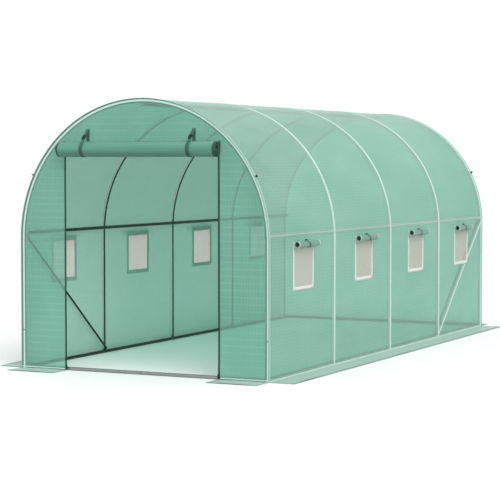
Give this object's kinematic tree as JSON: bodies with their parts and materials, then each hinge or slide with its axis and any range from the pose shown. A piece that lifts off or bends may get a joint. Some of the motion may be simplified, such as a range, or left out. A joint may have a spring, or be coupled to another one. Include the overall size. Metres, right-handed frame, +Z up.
{
  "type": "polytunnel greenhouse",
  "caption": "Walk-in polytunnel greenhouse with a round arched tube frame, green woven cover, rolled-up front door and mesh side windows with rolled flaps.",
  "frame": {"origin": "on the ground at the middle of the tunnel, at the bottom centre of its bounding box", "axes": "+Y along the tunnel towards the closed back end, -Y towards the open front doorway, +X to the right when looking along +Y, +Z up"},
  "size_m": [2.3946, 4.9196, 1.9523],
  "materials": {
    "steel": "satin",
    "cover_sheet": "satin",
    "end_sheet": "satin",
    "skirt_sheet": "satin",
    "webbing": "matte",
    "zip_tape": "matte",
    "black_plastic": "satin",
    "border_tape": "matte",
    "insect_mesh": "matte",
    "flap_sheet": "satin"
  },
  "bodies": {
    "root": {"hoop_1": "steel", "hoop_2": "steel", "hoop_3": "steel", "hoop_4": "steel", "hoop_5": "steel", "ridge_rail": "steel", "side_rail_left": "steel", "side_rail_right": "steel", "ground_rail_left": "steel", "ground_rail_right": "steel", "ground_rail_front": "steel", "ground_rail_back": "steel", "brace_front_left": "steel", "brace_back_right": "steel", "roof_left_lower": "cover_sheet", "roof_left_upper": "cover_sheet", "roof_right_upper": "cover_sheet", "roof_right_lower": "cover_sheet", "wall_left": "cover_sheet", "wall_right": "cover_sheet", "front_panel_left": "end_sheet", "front_panel_right": "end_sheet", "front_panel_top": "end_sheet", "back_wall": "end_sheet", "door_roll": "end_sheet", "skirt_left": "skirt_sheet", "skirt_right": "skirt_sheet", "skirt_front_left": "skirt_sheet", "skirt_front_right": "skirt_sheet", "skirt_back": "skirt_sheet", "door_straps": "webbing", "window_ties": "webbing", "door_zips": "zip_tape", "door_buckles": "black_plastic", "bolt_knobs": "black_plastic", "window_borders": "border_tape", "window_screens": "insect_mesh", "window_flaps": "flap_sheet"}
  },
  "joints": []
}
